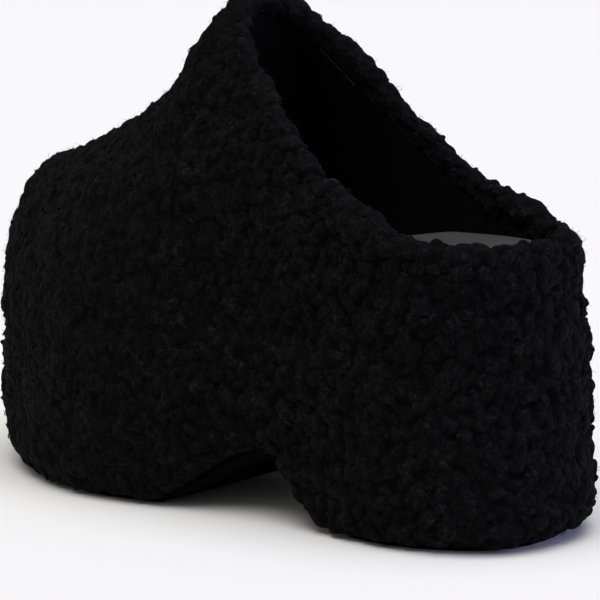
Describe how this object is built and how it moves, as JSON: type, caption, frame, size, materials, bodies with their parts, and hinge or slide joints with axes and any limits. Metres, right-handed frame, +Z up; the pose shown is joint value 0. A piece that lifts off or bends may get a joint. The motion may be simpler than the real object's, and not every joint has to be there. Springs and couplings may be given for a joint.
{
  "type": "clog slipper",
  "caption": "Left platform mule in curly black pile: hollow upper with a high throat and open low back, padded footbed, covered platform and block heel.",
  "frame": {"origin": "middle of the underside of the bounding box, on the floor the shoe stands on", "axes": "+X towards the toe, +Y to the wearer's left (outer side of this shoe), +Z up"},
  "size_m": [0.2744, 0.1154, 0.188],
  "materials": {
    "upper_pile": "curly pile, matt",
    "platform_pile": "curly pile, matt",
    "footbed_leather": "satin",
    "sole_rubber": "matt",
    "heel_rubber": "matt"
  },
  "bodies": {
    "root": {"upper": "upper_pile", "platform": "platform_pile", "insole": "footbed_leather", "outsole": "sole_rubber", "heel_top_piece": "heel_rubber"}
  },
  "joints": []
}
